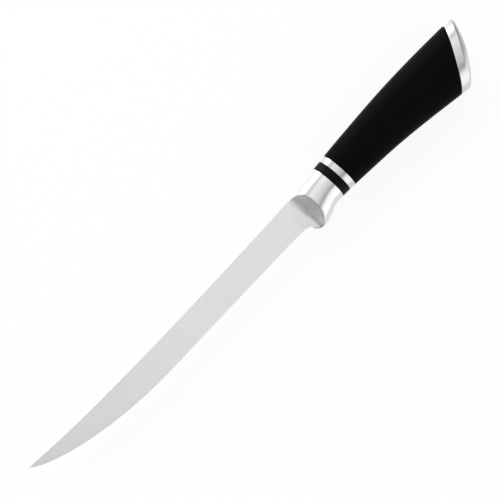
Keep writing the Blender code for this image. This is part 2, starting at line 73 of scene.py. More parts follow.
# Lengths along the handle, and how its joints lean
BOLSTER_LENGTH = 23.35
SPACER_LENGTH = 4.7
BAND_LENGTH = 3.7
GRIP_LENGTH = 89.2
SPACER_FRONT = BOLSTER_LENGTH + CAD_GAP
SPACER_REAR = SPACER_FRONT + SPACER_LENGTH
BAND_FRONT = SPACER_REAR + CAD_GAP
BAND_REAR = BAND_FRONT + BAND_LENGTH
GRIP_FRONT = BAND_REAR + CAD_GAP
GRIP_END = GRIP_FRONT + GRIP_LENGTH
RING_LEAN = -0.025
BUTT_LEAN = math.radians(32.0)
BUTT_SLOPE = math.tan(BUTT_LEAN)
CAP_FRONT = GRIP_END + CAD_GAP / math.cos(BUTT_LEAN)

# Blade outline, as knots of place, height and slope
BLADE_LENGTH = 200.0
TIP_HEIGHT = 13.4
SPINE_HEEL_HEIGHT = 8.6
HEEL_DEPTH = 9.6
SPINE_KNOTS = (
    (-BLADE_LENGTH, TIP_HEIGHT, -0.115),
    (-120.0, 8.85, -0.0235),
    (-50.0, 8.2, 0.0),
    (0.0, SPINE_HEEL_HEIGHT, 0.022),
)
EDGE_KNOTS = (
    (-BLADE_LENGTH, TIP_HEIGHT, -0.75),
    (-189.2, 7.1, -0.43),
    (-155.0, -2.62, -0.19),
    (-100.0, -7.15, 0.0),
    (-16.0, -7.95, -0.009),
    (0.0, -HEEL_DEPTH, -0.24),
)

# Blade section
BLADE_STOCK = 2.0
TIP_STOCK = 0.7
SHOULDER_STOCK = 0.5
EDGE_BEVEL = 1.2
MOST_BEVEL_SHARE = 0.35
SPINE_ROUNDING = 0.15
MOST_ROUNDING_SHARE = 0.1
RICASSO_LENGTH = 5.0
RICASSO_RELIEF = 0.05
RICASSO_CHAMFER = 0.15
TAPER_LENGTH = 100.0
TAPER_CURVE = 1.5

# Tang, and how square the corners of its slot are
TANG_HEIGHT = 10.0
TANG_LENGTH = 70.0
TANG_AXIS = -1.3
TANG_RELIEF = 0.1
SLOT_SQUARENESS = 1.02

# Handle outlines, as knots of place, height and slope
GUARD_AT = 5.0
GUARD_DEPTH = 14.75
GUARD_NOSE_REACH = 5.5
GUARD_NOSE_FULLNESS = 2.1
BACK_KNOTS = (
    (0.0, SPINE_HEEL_HEIGHT, 0.0),
    (4.5, SPINE_HEEL_HEIGHT, 0.0),
    (10.0, 9.45, 0.09),
    (45.0, 11.95, 0.045),
    (GRIP_END - 37.0, 13.25, 0.004),
    (GRIP_END + 8.0, 12.05, -0.05),
)
BELLY_KNOTS = (
    (GUARD_AT, -GUARD_DEPTH, 0.0),
    (20.5, -11.15, 0.0),
    (36.0, -11.85, -0.08),
    (GRIP_END - 52.0, -14.85, -0.125),
    (GRIP_END - 7.0, -21.75, -0.165),
)
SIDE_KNOTS = ((0.0, 8.8, 0.0), (BAND_FRONT, 9.1, 0.015), (GRIP_END, 11.6, 0.0))
OVAL_FULLNESS = 2.15
BUTT_FULLNESS = 2.25

# Bolster: leaning front, and the hollow ground into each side, later and steeper in its lower half
FRONT_LEAN = 0.1
FRONT_LEAN_FADE = 12.0
SCOOP_FLOOR = 1.06
SCOOP_START = 0.9
SCOOP_SLOPE = math.tan(math.radians(50.0))
SCOOP_EASE = 2.89
SCOOP_LEAN = 0.05
LOWER_SCOOP_DELAY = 1.6
LOWER_SCOOP_EASE = 1.8
LOWER_SCOOP_SLOPE = math.tan(math.radians(53.5))
RIM_ROUNDING = 0.45
LOWER_RIM_ROUNDING = 1.6

# Start, below the centre line or behind the front, and length of each fade over the bolster
LOWER_HALF = (0.5, 7.5)
LOWER_RIM = (4.0, 6.0)
RIM_SOFTENING = (5.0, 3.0)

# Tone of the hollow: how far behind the front painted shade darkens it, and how its upper and lower parts
# differ
SHADE_START = 2.0
SHADE_LENGTH = 8.0
LOWER_SHADE_DELAY = 1.2
LOWER_SHADE_QUICKENING = 4.5
LOWER_SHADE_BASE = 0.12
UPPER_SHADE_LOSS = 0.25
UPPER_LOSS_FADE = (2.0, 5.0)
LOWER_RIM_DULLING = 0.3
LOWER_RIM_LOSS = 0.25

# Painted shade: a dark line along the crease inside the guard's lower edge
CREASE_DEPTH = 1.0
CREASE_WIDTH = 0.40
CREASE_BELOW = (10.0, 2.0)
CREASE_END = 7.0
CREASE_END_FADE = 2.0

# Core's neck, and the wall of the soft sleeve
NECK_HEIGHT = 14.2
NECK_THICKNESS = 10.4
NECK_IN_BOLSTER = 7.0
SLEEVE_WALL = 2.5

# End cap, in heights square to its joint
CAP_CORNER_HEIGHT = 5.74
CAP_SIDE_DIP = 0.7
CAP_DOME_HEIGHT = 9.1
CAP_PEAK_SHARE = 0.545
CAP_SIDE_ROUNDING = 0.8
CAP_UPPER_ROUNDING = 2.5
CAP_LOWER_ROUNDING = 1.3
CAP_WALL = 2.2
CAP_RECESS = 3.2

# Duller dome, greyed by painted shade towards its upper side: the share of the ridge's rounding that it
# fades in over, and its fade in height
DULL_AND_SHADE_RIDGE_SHARE = 0.5
DULL_AND_SHADE_FADE = (-12.5, 9.0)

# Fineness
AROUND = 160
EDGE_ROUNDING = 0.18
EDGE_STEPS = 4
BLADE_STEPS = 180
BLADE_CROWDING = 1.25
SPINE_STEPS = 3
FLANK_STEPS = 12
BEVEL_STEPS = 3
BOLSTER_STEPS = 120
BOLSTER_CROWDING = 1.15
COLLAR_STEPS = 6
SLEEVE_STEPS = 130
SLEEVE_BORE_RINGS = 17
CAP_WALL_STEPS = 7
CAP_RIDGE_STEPS = 10
CAP_DOME_STEPS = 20
SOLVER_STEPS = 40
SOLVER_SHARE = 0.6
SHARP_ANGLE = 35.0
BLADE_SHARP_ANGLE = 7.0

# Place of the outlines' origin in the frame
nut_low, nut_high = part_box("tang_nut")
nut_middle = (nut_low + nut_high) / 2
ORIGIN = Vector((cad_box[0].x + BLADE_LENGTH * MM, nut_middle.y - TANG_AXIS * MM, nut_middle.z))


def between(first, second, share):
    return first + (second - first) * share


def smooth_step(t):
    t = np.clip(t, 0, 1)
    return t * t * (3 - 2 * t)


def fade(value, start, length):
    """Nought before the start, then a smooth rise to one over the length."""
    return smooth_step((value - start) / length)


def signed_power(value, power):
    return np.sign(value) * np.abs(value) ** power


def smooth_least(a, b, rounding):
    """The lesser of two heights, rounded over where they cross."""
    near = np.maximum(rounding - np.abs(a - b), 0) / rounding
    return np.minimum(a, b) - near**2 * rounding / 4


def height_on(knots, x):
    """Height at x of the smooth line through the knots, which runs straight on past its ends."""
    places, heights, slopes = (np.array(column) for column in zip(*knots))
    index = np.clip(np.searchsorted(places, x, side="right") - 1, 0, len(places) - 2)
    span = places[index + 1] - places[index]
    t = np.clip((x - places[index]) / span, 0, 1)
    leaving = heights[index] * (1 + 2 * t) + slopes[index] * span * t
    arriving = heights[index + 1] * (3 - 2 * t) - slopes[index + 1] * span * (1 - t)
    curve = leaving * (1 - t) ** 2 + arriving * t**2
    before = slopes[0] * np.minimum(x - places[0], 0)
    after = slopes[-1] * np.maximum(x - places[-1], 0)
    return curve + before + after


def handle_low(x):
    """Lower outline of the handle: the rounded nose of the guard, then the belly."""
    forward = np.clip((GUARD_AT - x) / GUARD_NOSE_REACH, 0, 1)
    drop = (1 - forward**GUARD_NOSE_FULLNESS) ** (1 / GUARD_NOSE_FULLNESS)
    nose = -between(HEEL_DEPTH, GUARD_DEPTH, drop)
    return np.where(x < GUARD_AT, nose, height_on(BELLY_KNOTS, x))


def handle_skin(axis_x, lean, angle, inset):
    """Points of the handle's skin on planes that cross the centre line at axis_x and lean back by lean."""
    axis_x, lean, angle, inset = np.broadcast_arrays(axis_x, lean, angle, inset)
    butt = fade(axis_x, BAND_REAR, GRIP_END - BAND_REAR)
    power = 2 / between(OVAL_FULLNESS, BUTT_FULLNESS, butt)
    up = signed_power(np.cos(angle), power)
    side = signed_power(np.sin(angle), power)
    y = np.zeros(angle.shape)
    for _ in range(SOLVER_STEPS):
        x = axis_x + lean * y
        top = height_on(BACK_KNOTS, x) - inset
        low = handle_low(x) + inset
        y = y + SOLVER_SHARE * ((top + low) / 2 + up * (top - low) / 2 - y)
    x = axis_x + lean * y
    return np.stack((x, y, side * (height_on(SIDE_KNOTS, x) - inset)), axis=-1)


def ring_angles():
    return np.arange(AROUND) * 2 * math.pi / AROUND


def handle_rings(axis_x, lean, inset):
    """One ring for each axis_x, with its lean and inset, which may also be the same for all."""
    columns = [np.asarray(value, float).reshape(-1, 1) for value in (axis_x, lean, inset)]
    return handle_skin(columns[0], columns[1], ring_angles()[None, :], columns[2])


def neck_ring(axis_x, lean):
    """Oval room round the core's neck, on a plane that leans."""
    angle = ring_angles()
    y = TANG_AXIS + (NECK_HEIGHT / 2 + CAD_GAP) * np.cos(angle)
    z = (NECK_THICKNESS / 2 + CAD_GAP) * np.sin(angle)
    return np.stack((axis_x + lean * y, y, z), axis=-1)


def slot_ring(axis_x, lean):
    """Rectangular slot close round the tang, on a plane that leans."""
    angle = ring_angles()
    half_height = TANG_HEIGHT / 2 + JOINT
    half_width = BLADE_STOCK / 2 - TANG_RELIEF + JOINT
    y = TANG_AXIS + half_height * np.clip(SLOT_SQUARENESS * np.cos(angle), -1, 1)
    z = np.clip(half_height * np.sin(angle), -half_width, half_width)
    return np.stack((axis_x + lean * y, y, z), axis=-1)


def quarter_turn():
    """Angles of the steps round a rounded edge."""
    return np.linspace(0, math.pi / 2, EDGE_STEPS + 1)


def rounded_run(start, end, steps):
    """Places and insets along a piece from its rounded front edge to its rounded rear edge."""
    turn = quarter_turn()
    lead = EDGE_ROUNDING * (1 - np.cos(turn))
    inset = EDGE_ROUNDING * (1 - np.sin(turn))
    middle = np.linspace(start + EDGE_ROUNDING, end - EDGE_ROUNDING, steps + 1)[1:-1]
    places = np.concatenate((start + lead, middle, end - lead[::-1]))
    insets = np.concatenate((inset, np.zeros(len(middle)), inset[::-1]))
    return places, insets


def band_faces(ring_count, count, wrap):
    """Faces between neighbouring rings, and between the last and the first where they wrap."""
    total = ring_count * count
    bands = ring_count if wrap else ring_count - 1
    first = np.arange(bands)[:, None] * count
    step = np.arange(count)
    a = (first + step).ravel()
    b = (first + (step + 1) % count).ravel()
    return np.stack((a, b, (b + count) % total, (a + count) % total), axis=-1).tolist()


def mesh_piece(name, rings, wrap=False, poles=(None, None), sharp_angle=SHARP_ANGLE):
    """Object through rings of equal count, in millimetres: wrapped round a bore, or closed at both ends."""
    count = rings.shape[1]
    points = rings.reshape(-1, 3)
    total = len(points)
    faces = band_faces(len(rings), count, wrap)
    ends = () if wrap else (range(count - 1, -1, -1), range(total - count, total))
    for pole, loop in zip(poles, ends):
        if pole is None:
            faces.append(list(loop))
            continue
        peak = len(points)
        points = np.vstack((points, pole))
        faces += [[loop[i], loop[(i + 1) % count], peak] for i in range(count)]
    mesh = bpy.data.meshes.new(name)
    mesh.from_pydata((points * MM).tolist(), [], faces)
    mesh.validate()
    mesh.shade_smooth()
    mesh.set_sharp_from_angle(angle=math.radians(sharp_angle))
    made = bpy.data.objects.new(name, mesh)
    bpy.context.scene.collection.objects.link(made)
    made.location = ORIGIN
    return made


def mark(piece, name, values):
    """Stores a value for each point of a piece, which its material reads."""
    layer = piece.data.attributes.new(name, "FLOAT", "POINT")
    layer.data.foreach_set("value", values.ravel().astype(np.float32))


def facing_out(piece):
    """Turns a piece's faces outwards."""
    bpy.context.view_layer.objects.active = piece
    piece.select_set(True)
    bpy.ops.object.mode_set(mode="EDIT")
    bpy.ops.mesh.select_all(action="SELECT")
    bpy.ops.mesh.normals_make_consistent(inside=False)
    bpy.ops.object.mode_set(mode="OBJECT")
    piece.select_set(False)


def dress(piece, node, material):
    """Gives a piece its material and its place on the knife, and hides the CAD node that it stands for."""
    piece.data.materials.append(material)
    facing_out(piece)
    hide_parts(node)
    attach(piece, "root")


def blade_heights(axis_x, lean):
    """Heights of the spine and of the edge, on planes that lean."""
    top = np.zeros(len(axis_x))
    edge = np.zeros(len(axis_x))
    for _ in range(SOLVER_STEPS):
        top = height_on(SPINE_KNOTS, axis_x + lean * top)
        edge = height_on(EDGE_KNOTS, axis_x + lean * edge)
    return top, edge


def blade_sections(axis_x):
    """Rings of the blade: rounded spine, ground flank, edge bevel, edge, and the same on the far side."""
    ricasso = fade(axis_x, -RICASSO_LENGTH, RICASSO_LENGTH)
    lean = FRONT_LEAN * ricasso
    top, edge = blade_heights(axis_x, lean)
    taper = np.maximum(TAPER_LENGTH - BLADE_LENGTH - axis_x, 0) / TAPER_LENGTH
    spine_half = between(BLADE_STOCK, TIP_STOCK, taper**TAPER_CURVE) / 2
    ground_half = SHOULDER_STOCK / 2 * spine_half / (BLADE_STOCK / 2)
    shoulder_half = between(ground_half, BLADE_STOCK / 2 - RICASSO_RELIEF, ricasso)
    bevel = between(EDGE_BEVEL, RICASSO_CHAMFER, ricasso)
    height = top - edge
    shoulder = edge + np.minimum(bevel, MOST_BEVEL_SHARE * height)
    rounding = np.minimum(SPINE_ROUNDING, MOST_ROUNDING_SHARE * height)
    side = []
    for turn in np.linspace(0, math.pi / 2, SPINE_STEPS + 1):
        y = top - rounding * (1 - math.cos(turn))
        side.append((y, spine_half - rounding * (1 - math.sin(turn))))
    for share in np.linspace(0, 1, FLANK_STEPS + 1)[1:]:
        y = between(top - rounding, shoulder, share)
        side.append((y, between(spine_half, shoulder_half, share)))
    for share in np.linspace(0, 1, BEVEL_STEPS + 1)[1:-1]:
        side.append((between(shoulder, edge, share), shoulder_half * (1 - share)))
    outline = side + [(edge, np.zeros(len(axis_x)))] + [(y, -z) for y, z in reversed(side)]
    rings = [np.stack((axis_x + lean * y, y, z), axis=-1) for y, z in outline]
    return np.stack(rings, axis=1)


def make_blade():
    """Blade and its stick tang."""
    shares = np.linspace(0, 1, BLADE_STEPS + 1)[:-1]
    stations = -JOINT - (BLADE_LENGTH - JOINT) * (1 - (1 - shares) ** BLADE_CROWDING)
    rings = blade_sections(stations)[::-1]
    tang_top = TANG_AXIS + TANG_HEIGHT / 2
    tang_half = BLADE_STOCK / 2 - TANG_RELIEF
    shoulder = rings[-1].copy()
    shoulder[:, 1] = np.clip(shoulder[:, 1], tang_top - TANG_HEIGHT, tang_top)
    shoulder[:, 2] = np.clip(shoulder[:, 2], -tang_half, tang_half)
    shoulder[:, 0] = -JOINT + FRONT_LEAN * shoulder[:, 1]
    tang_end = shoulder.copy()
    tang_end[:, 0] = TANG_LENGTH
    rings = np.concatenate((rings, [shoulder, tang_end]))
    tip = np.array((-BLADE_LENGTH, TIP_HEIGHT, 0.0))
    piece = mesh_piece("satin_blade", rings, poles=(tip, None), sharp_angle=BLADE_SHARP_ANGLE)
    # Mark of the spine's rounding, which the blade's steel darkens with painted shade
    spine = np.zeros(rings.shape[:2])
    spine[:, :SPINE_STEPS] = 1.0
    spine[:, -SPINE_STEPS:] = 1.0
    mark(piece, "spine", np.append(spine, 1.0))
    return piece


def scoop_height(reach, lower):
    """Half thickness left by the hollow: level, then easing into a ramp, later in its lower half."""
    ease = between(SCOOP_EASE, LOWER_SCOOP_EASE, lower)
    slope = between(SCOOP_SLOPE, LOWER_SCOOP_SLOPE, lower)
    along = np.maximum(reach - SCOOP_START - LOWER_SCOOP_DELAY * lower, 0)
    return SCOOP_FLOOR + slope * ease * np.log(np.cosh(along / ease))


def grind_hollow(outer):
    """Grinds the hollow into the bolster's rings, and returns the marks that its steel reads."""
    x, y, z = outer[:, :, 0], outer[:, :, 1], outer[:, :, 2]
    reach = x - SCOOP_LEAN * y
    lower = fade(-y, *LOWER_HALF)
    low = fade(-y, *LOWER_RIM)
    rounding = between(RIM_ROUNDING, LOWER_RIM_ROUNDING, low * fade(reach, *RIM_SOFTENING))
    skin = np.abs(z)
    hollow = scoop_height(reach, lower)
    outer[:, :, 2] = np.sign(z) * np.maximum(smooth_least(skin, hollow, rounding), 0)
    inside = (skin - hollow) / rounding / 2
    ground = smooth_step(inside + 0.5 + LOWER_RIM_DULLING * low)
    # Painted shade: the hollow's colour greys up its ramp, a little from the front in its lower half, less
    # in its upper part and near its lower rim
    base = LOWER_SHADE_BASE * lower
    start = SHADE_START + LOWER_SHADE_DELAY * lower
    length = SHADE_LENGTH - LOWER_SHADE_QUICKENING * lower
    most = 1 - UPPER_SHADE_LOSS * fade(y, *UPPER_LOSS_FADE)
    shade = between(base, most, fade(reach, start, length))
    shade *= 1 - LOWER_RIM_LOSS * smooth_step(1 - inside) * low
    # Painted shade: a dark line along the crease just above the guard's lower edge
    depth = y - handle_low(x)
    line = smooth_step(1 - np.abs(depth - CREASE_DEPTH) / CREASE_WIDTH)
    crease = line * fade(-y, *CREASE_BELOW) * fade(-reach, -CREASE_END, CREASE_END_FADE)
    return {"ground": ground, "shade": shade, "crease": crease}


def make_bolster():
    """Oval bolster with a finger guard and a ground hollow in each side, slotted for the tang."""
    end = BOLSTER_LENGTH + JOINT_REACH
    turn = quarter_turn()[1:]
    run = np.linspace(0, 1, BOLSTER_STEPS + 1) ** BOLSTER_CROWDING * (end - EDGE_ROUNDING)
    places = np.concatenate((run, end - EDGE_ROUNDING * (1 - np.sin(turn))))
    insets = np.concatenate((np.zeros(len(run)), EDGE_ROUNDING * (1 - np.cos(turn))))
    leans = between(RING_LEAN, FRONT_LEAN, np.maximum(1 - places / FRONT_LEAN_FADE, 0))
    outer = handle_rings(places, leans, insets)
    marks = grind_hollow(outer)
    socket_floor = BOLSTER_LENGTH - NECK_IN_BOLSTER - CAD_GAP
    inner = [
        neck_ring(end, RING_LEAN),
        neck_ring(socket_floor, 0.0),
        slot_ring(socket_floor, 0.0),
        slot_ring(0.0, FRONT_LEAN),
    ]
    piece = mesh_piece("polished_bolster", np.concatenate((outer, inner)), wrap=True)
    unmarked = np.zeros((len(inner), AROUND))
    for name, values in marks.items():
        mark(piece, name, np.concatenate((values, unmarked)))
    return piece


def make_collar(name, front, rear):
    """Ring of the handle's oval round the core's neck, with fine rounded edges."""
    places, insets = rounded_run(front - JOINT_REACH, rear + JOINT_REACH, COLLAR_STEPS)
    outer = handle_rings(places, RING_LEAN, insets)
    inner = [neck_ring(rear, RING_LEAN), neck_ring(front, RING_LEAN)]
    return mesh_piece(name, np.concatenate((outer, inner)), wrap=True)


def grip_leans(places):
    """Leans along the grip, which grow towards the butt."""
    share = np.clip((places - GRIP_FRONT) / GRIP_LENGTH, 0, 1)
    return between(RING_LEAN, BUTT_SLOPE, share)


def make_sleeve():
    """Soft grip, an open tube."""
    places, insets = rounded_run(GRIP_FRONT - JOINT_REACH, GRIP_END + JOINT_REACH, SLEEVE_STEPS)
    outer = handle_rings(places, grip_leans(places), insets)
    bore = np.linspace(places[-1], places[0], SLEEVE_BORE_RINGS)
    inner = handle_rings(bore, grip_leans(bore), SLEEVE_WALL)
    return mesh_piece("soft_grip", np.concatenate((outer, inner)), wrap=True)


def cap_wall(height, angle, inset=0.0):
    """Points of the handle's skin at a height square to the cap's joint."""
    return handle_skin(CAP_FRONT + height / math.cos(BUTT_LEAN), BUTT_SLOPE, angle, inset)


def cap_ridge(angle):
    """Height of the cap's ridge and its rounding, round the handle."""
    corner = np.cos(angle) ** 2
    height = CAP_CORNER_HEIGHT - CAP_SIDE_DIP * (1 - corner)
    end_rounding = np.where(np.cos(angle) > 0, CAP_UPPER_ROUNDING, CAP_LOWER_ROUNDING)
    return height, between(CAP_SIDE_ROUNDING, end_rounding, corner)


def cap_side(angle, height):
    """Rings from the floor of the cap's recess, over its fine front edge and up its wall to a height."""
    rings = [cap_wall(CAP_RECESS, angle, CAP_WALL), cap_wall(0.0, angle, CAP_WALL)]
    for turn in quarter_turn():
        lead = EDGE_ROUNDING * (1 - math.cos(turn)) - JOINT_REACH
        rings.append(cap_wall(lead, angle, EDGE_ROUNDING * (1 - math.sin(turn))))
    for share in np.linspace(0, 1, CAP_WALL_STEPS + 1)[1:]:
        rings.append(cap_wall(height * share, angle))
    return rings


def make_cap():
    """Hollow end cap: side wall in line with the grip, a ridge and a domed end."""
    angle = ring_angles()
    normal = np.array((math.cos(BUTT_LEAN), -math.sin(BUTT_LEAN), 0.0))
    upper, lower = cap_wall(0.0, np.array((0.0, math.pi)))
    middle = between(lower, upper, CAP_PEAK_SHARE)
    ridge_height, rounding = cap_ridge(angle)
    ridge = cap_wall(ridge_height, angle)
    across = ridge - middle
    across = across - np.outer(across @ normal, normal)

    def dome(share):
        height = between(CAP_DOME_HEIGHT, ridge_height, share**2)
        return middle + across * share[:, None] + height[:, None] * normal

    side = cap_side(angle, ridge_height - rounding)
    dome_share = 1 - rounding / np.linalg.norm(across, axis=1)
    dome_rim = dome(dome_share)
    turns = np.linspace(0, 1, CAP_RIDGE_STEPS + 1)[1:]
    rounded = [side[-1] * (1 - t) ** 2 + ridge * 2 * t * (1 - t) + dome_rim * t**2 for t in turns]
    domed = [dome(dome_share * share) for share in np.linspace(1, 0, CAP_DOME_STEPS + 1)[1:-1]]
    rings = np.array(side + rounded + domed)
    peak = middle + normal * CAP_DOME_HEIGHT
    piece = mesh_piece("domed_cap", rings, poles=(None, peak))
    # Mark of the duller dome and of its painted shade, which grows towards the upper side
    ring_dulls = (np.zeros(len(side)), fade(turns, 0.0, DULL_AND_SHADE_RIDGE_SHARE), np.ones(len(domed)))
    dull_and_painted_shade = np.concatenate(ring_dulls)[:, None] * fade(rings[:, :, 1], *DULL_AND_SHADE_FADE)
    mark(piece, "domed", np.append(dull_and_painted_shade, 1.0))
    return piece


def plug(tree, socket, value):
    """Links another node's output to a socket, or sets the socket to a plain value."""
    if isinstance(value, bpy.types.NodeSocket):
        tree.links.new(value, socket)
    else:
        socket.default_value = value


def plug_named(tree, node, inputs):
    """Plugs in values by the names of the inputs, which have underlines for their spaces."""
    for name, value in inputs.items():
        plug(tree, node.inputs[name.replace("_", " ")], value)


def add_node(tree, kind, settings=None, **inputs):
    """New node with its settings and its inputs."""
    node = tree.nodes.new(kind)
    for name, value in (settings or {}).items():
        setattr(node, name, value)
    plug_named(tree, node, inputs)
    return node


def opaque(colour):
    return (*colour, 1.0)


def greys(dark, light):
    """Two colours without a tint."""
    return (dark, dark, dark), (light, light, light)


def new_material(name, **inputs):
    """A material with its node tree and its shader."""
    material = bpy.data.materials.new(name)
    material.use_nodes = True
    tree = material.node_tree
    shader = tree.nodes["Principled BSDF"]
    plug_named(tree, shader, inputs)
    return material, tree, shader


def calculated(tree, operation, *values):
    """Result of a calculation with outputs or plain numbers."""
    node = add_node(tree, "ShaderNodeMath", {"operation": operation})
    for socket, value in zip(node.inputs, values):
        plug(tree, socket, value)
    return node.outputs[0]


def remapped(tree, value, start, end, low=0.0, high=1.0):
    """Maps a value that runs from start to end onto low to high."""
    limits = {"From_Min": start, "From_Max": end, "To_Min": low, "To_Max": high}
    return add_node(tree, "ShaderNodeMapRange", Value=value, **limits).outputs["Result"]


# Places of a mix node's first and second inputs and of its output
MIX_SOCKETS = {"RGBA": (6, 7, 2), "FLOAT": (2, 3, 0)}


def mixed(tree, factor, first, second, kind="RGBA", blend="MIX"):
    """Mix of two colours or numbers, each an output or a plain value."""
    mix = add_node(tree, "ShaderNodeMix", {"data_type": kind, "blend_type": blend}, Factor=factor)
    first_input, second_input, output = MIX_SOCKETS[kind]
    plug(tree, mix.inputs[first_input], first)
    plug(tree, mix.inputs[second_input], second)
    return mix.outputs[output]


def split_place(tree, place):
    """The X, Y and Z outputs of a place."""
    return add_node(tree, "ShaderNodeSeparateXYZ", Vector=place).outputs


def own_place(tree):
    """Place on the piece, from its own origin."""
    return add_node(tree, "ShaderNodeTexCoord").outputs["Object"]


def world_place(tree):
    """Place in the scene."""
    return add_node(tree, "ShaderNodeNewGeometry").outputs["Position"]


def marked(tree, name):
    """A value that mark() stored on the piece."""
    return add_node(tree, "ShaderNodeAttribute", {"attribute_name": name}).outputs["Fac"]


def grain(tree, counts, detail=3.0):
    """Noise with a count per millimetre along, across and through the knife."""
    scale = [count / MM for count in counts]
    place = add_node(tree, "ShaderNodeMapping", Vector=own_place(tree), Scale=scale)
    noise = add_node(tree, "ShaderNodeTexNoise", Vector=place.outputs["Vector"], Scale=1.0, Detail=detail)
    return noise.outputs["Fac"]


# Values that most of the noise lies between
NOISE_SPAN = (0.25, 0.75)


def ranged(tree, noise, low, high):
    """Maps a noise value onto a range."""
    return remapped(tree, noise, *NOISE_SPAN, low, high)


def tinted(tree, noise, dark, light):
    """Mixes two colours by a noise value."""
    return mixed(tree, ranged(tree, noise, 0.0, 1.0), opaque(dark), opaque(light))


def surfaced(tree, shader, colour, roughness):
    """Gives a shader its colour and roughness."""
    plug(tree, shader.inputs["Base Color"], colour)
    plug(tree, shader.inputs["Roughness"], roughness)


def covered(tree, shader, share, colour, roughness):
    """Lays a second colour and roughness over the first ones."""
    first_colour = shader.inputs["Base Color"].links[0].from_socket
    first_roughness = shader.inputs["Roughness"].links[0].from_socket
    colour = mixed(tree, share, first_colour, colour)
    roughness = mixed(tree, share, first_roughness, roughness, "FLOAT")
    surfaced(tree, shader, colour, roughness)


def bumped(tree, shader, noise, height):
    """Raises the surface by a noise value, with the height in millimetres."""
    bump = add_node(tree, "ShaderNodeBump", Height=noise, Strength=1.0, Distance=height * MM)
    plug(tree, shader.inputs["Normal"], bump.outputs["Normal"])


# Blade: satin ground across it, with its point darkened by painted shade between two places along it, and a
# rough spine darkened by painted shade
BLADE_FLANK = ((0.938, 0.940, 0.938), (0.963, 0.965, 0.963))
# Painted shade: the darker colour of the point, and the places between which it fades in
BLADE_POINT_SHADE = ((0.862, 0.864, 0.862), (0.887, 0.889, 0.887))
BLADE_POINT_SHADE_FADE = (-85.0 * MM, -185.0 * MM)
# Painted shade: dark colour of the spine
BLADE_SPINE_SHADE = greys(0.26, 0.36)
BLADE_ROUGHNESS = (0.40, 0.50)
BLADE_GRAIN = (7.0, 0.12, 0.12)
BLADE_CLOUD = (0.09, 0.05, 0.05)
BLADE_RELIEF = 0.0015

# Share that the blade keeps of a glancing reflection
BLADE_EDGE_TINT = 0.6


def satin_blade_steel():
    """Satin ground across the blade, darkened a little towards the point by painted shade, and a rough
    spine darkened by painted shade.
    """
    edge_tint = opaque([BLADE_EDGE_TINT] * 3)
    material, tree, shader = new_material("satin_blade_steel", Metallic=1.0, Specular_Tint=edge_tint)
    fine = grain(tree, BLADE_GRAIN)
    broad = grain(tree, BLADE_CLOUD, detail=2.0)
    along = split_place(tree, own_place(tree))["X"]
    # Painted shade: the flank's colour darkens towards the point
    pointward = remapped(tree, along, *BLADE_POINT_SHADE_FADE)
    flank = mixed(tree, pointward, tinted(tree, broad, *BLADE_FLANK), tinted(tree, broad, *BLADE_POINT_SHADE))
    # Painted shade: a dark colour along the spine
    colour = mixed(tree, marked(tree, "spine"), flank, tinted(tree, fine, *BLADE_SPINE_SHADE))
    surfaced(tree, shader, colour, ranged(tree, fine, *BLADE_ROUGHNESS))
    bumped(tree, shader, fine, BLADE_RELIEF)
    return material


# Polished steel
BUFFING_MARKS = (0.3, 2.2, 2.2)
BUFFING_RELIEF = 0.0004
POLISH_CLOUD = (0.15, 0.15, 0.15)


def steel(name, colours, roughness):
    """Polished steel with faint buffing marks."""
    material, tree, shader = new_material(name, Metallic=1.0)
    buffing = grain(tree, BUFFING_MARKS)
    cloud = grain(tree, POLISH_CLOUD, detail=2.0)
    surfaced(tree, shader, tinted(tree, cloud, *colours), ranged(tree, buffing, *roughness))
    bumped(tree, shader, buffing, BUFFING_RELIEF)
    return material, tree, shader


# Bolster: polish, and the hollow with its grinding marks, pale at its front and greyed up its ramp by
# painted shade
BOLSTER_POLISH = greys(0.77, 0.81)
BOLSTER_ROUGHNESS = (0.07, 0.13)
HOLLOW_MARKS = (5.0, 0.25, 5.0)
HOLLOW_PALE = greys(0.87, 0.91)
# Painted shade: the grey that the hollow's colour takes up its ramp
HOLLOW_SHADE_GREY = greys(0.67, 0.70)
HOLLOW_ROUGHNESS = (0.30, 0.38)
# Painted shade: colour of the dark crease line
CREASE_SHADE = ((0.26, 0.26, 0.255), (0.34, 0.34, 0.335))


def bolster_steel():
    """Mirror polish, and a duller ground hollow that painted shade darkens up its ramp, with a dark crease
    of painted shade at the guard.
    """
    material, tree, shader = steel("bolster_steel", BOLSTER_POLISH, BOLSTER_ROUGHNESS)
    marks = grain(tree, HOLLOW_MARKS)
    pale = tinted(tree, marks, *HOLLOW_PALE)
    painted_shade_grey = tinted(tree, marks, *HOLLOW_SHADE_GREY)
    dull_and_painted_shade = mixed(tree, marked(tree, "shade"), pale, painted_shade_grey)
    dull_and_painted_shade = mixed(tree, marked(tree, "crease"), dull_and_painted_shade, tinted(tree, marks, *CREASE_SHADE))
    covered(tree, shader, marked(tree, "ground"), dull_and_painted_shade, ranged(tree, marks, *HOLLOW_ROUGHNESS))
    return material


# Band
BAND_POLISH = greys(0.68, 0.72)
BAND_ROUGHNESS = (0.08, 0.14)


def band_steel():
    """Polish of the ring between spacer and grip."""
    return steel("band_steel", BAND_POLISH, BAND_ROUGHNESS)[0]


# Cap: softly polished wall, and duller dome greyed by painted shade
CAP_POLISH = greys(0.70, 0.75)
CAP_ROUGHNESS = (0.06, 0.12)
DOME_SATIN = (1.2, 1.2, 1.2)
# Painted shade: the grey that the dome's colour takes
DOME_SHADE_GREY = greys(0.36, 0.43)
DOME_ROUGHNESS = (0.26, 0.34)


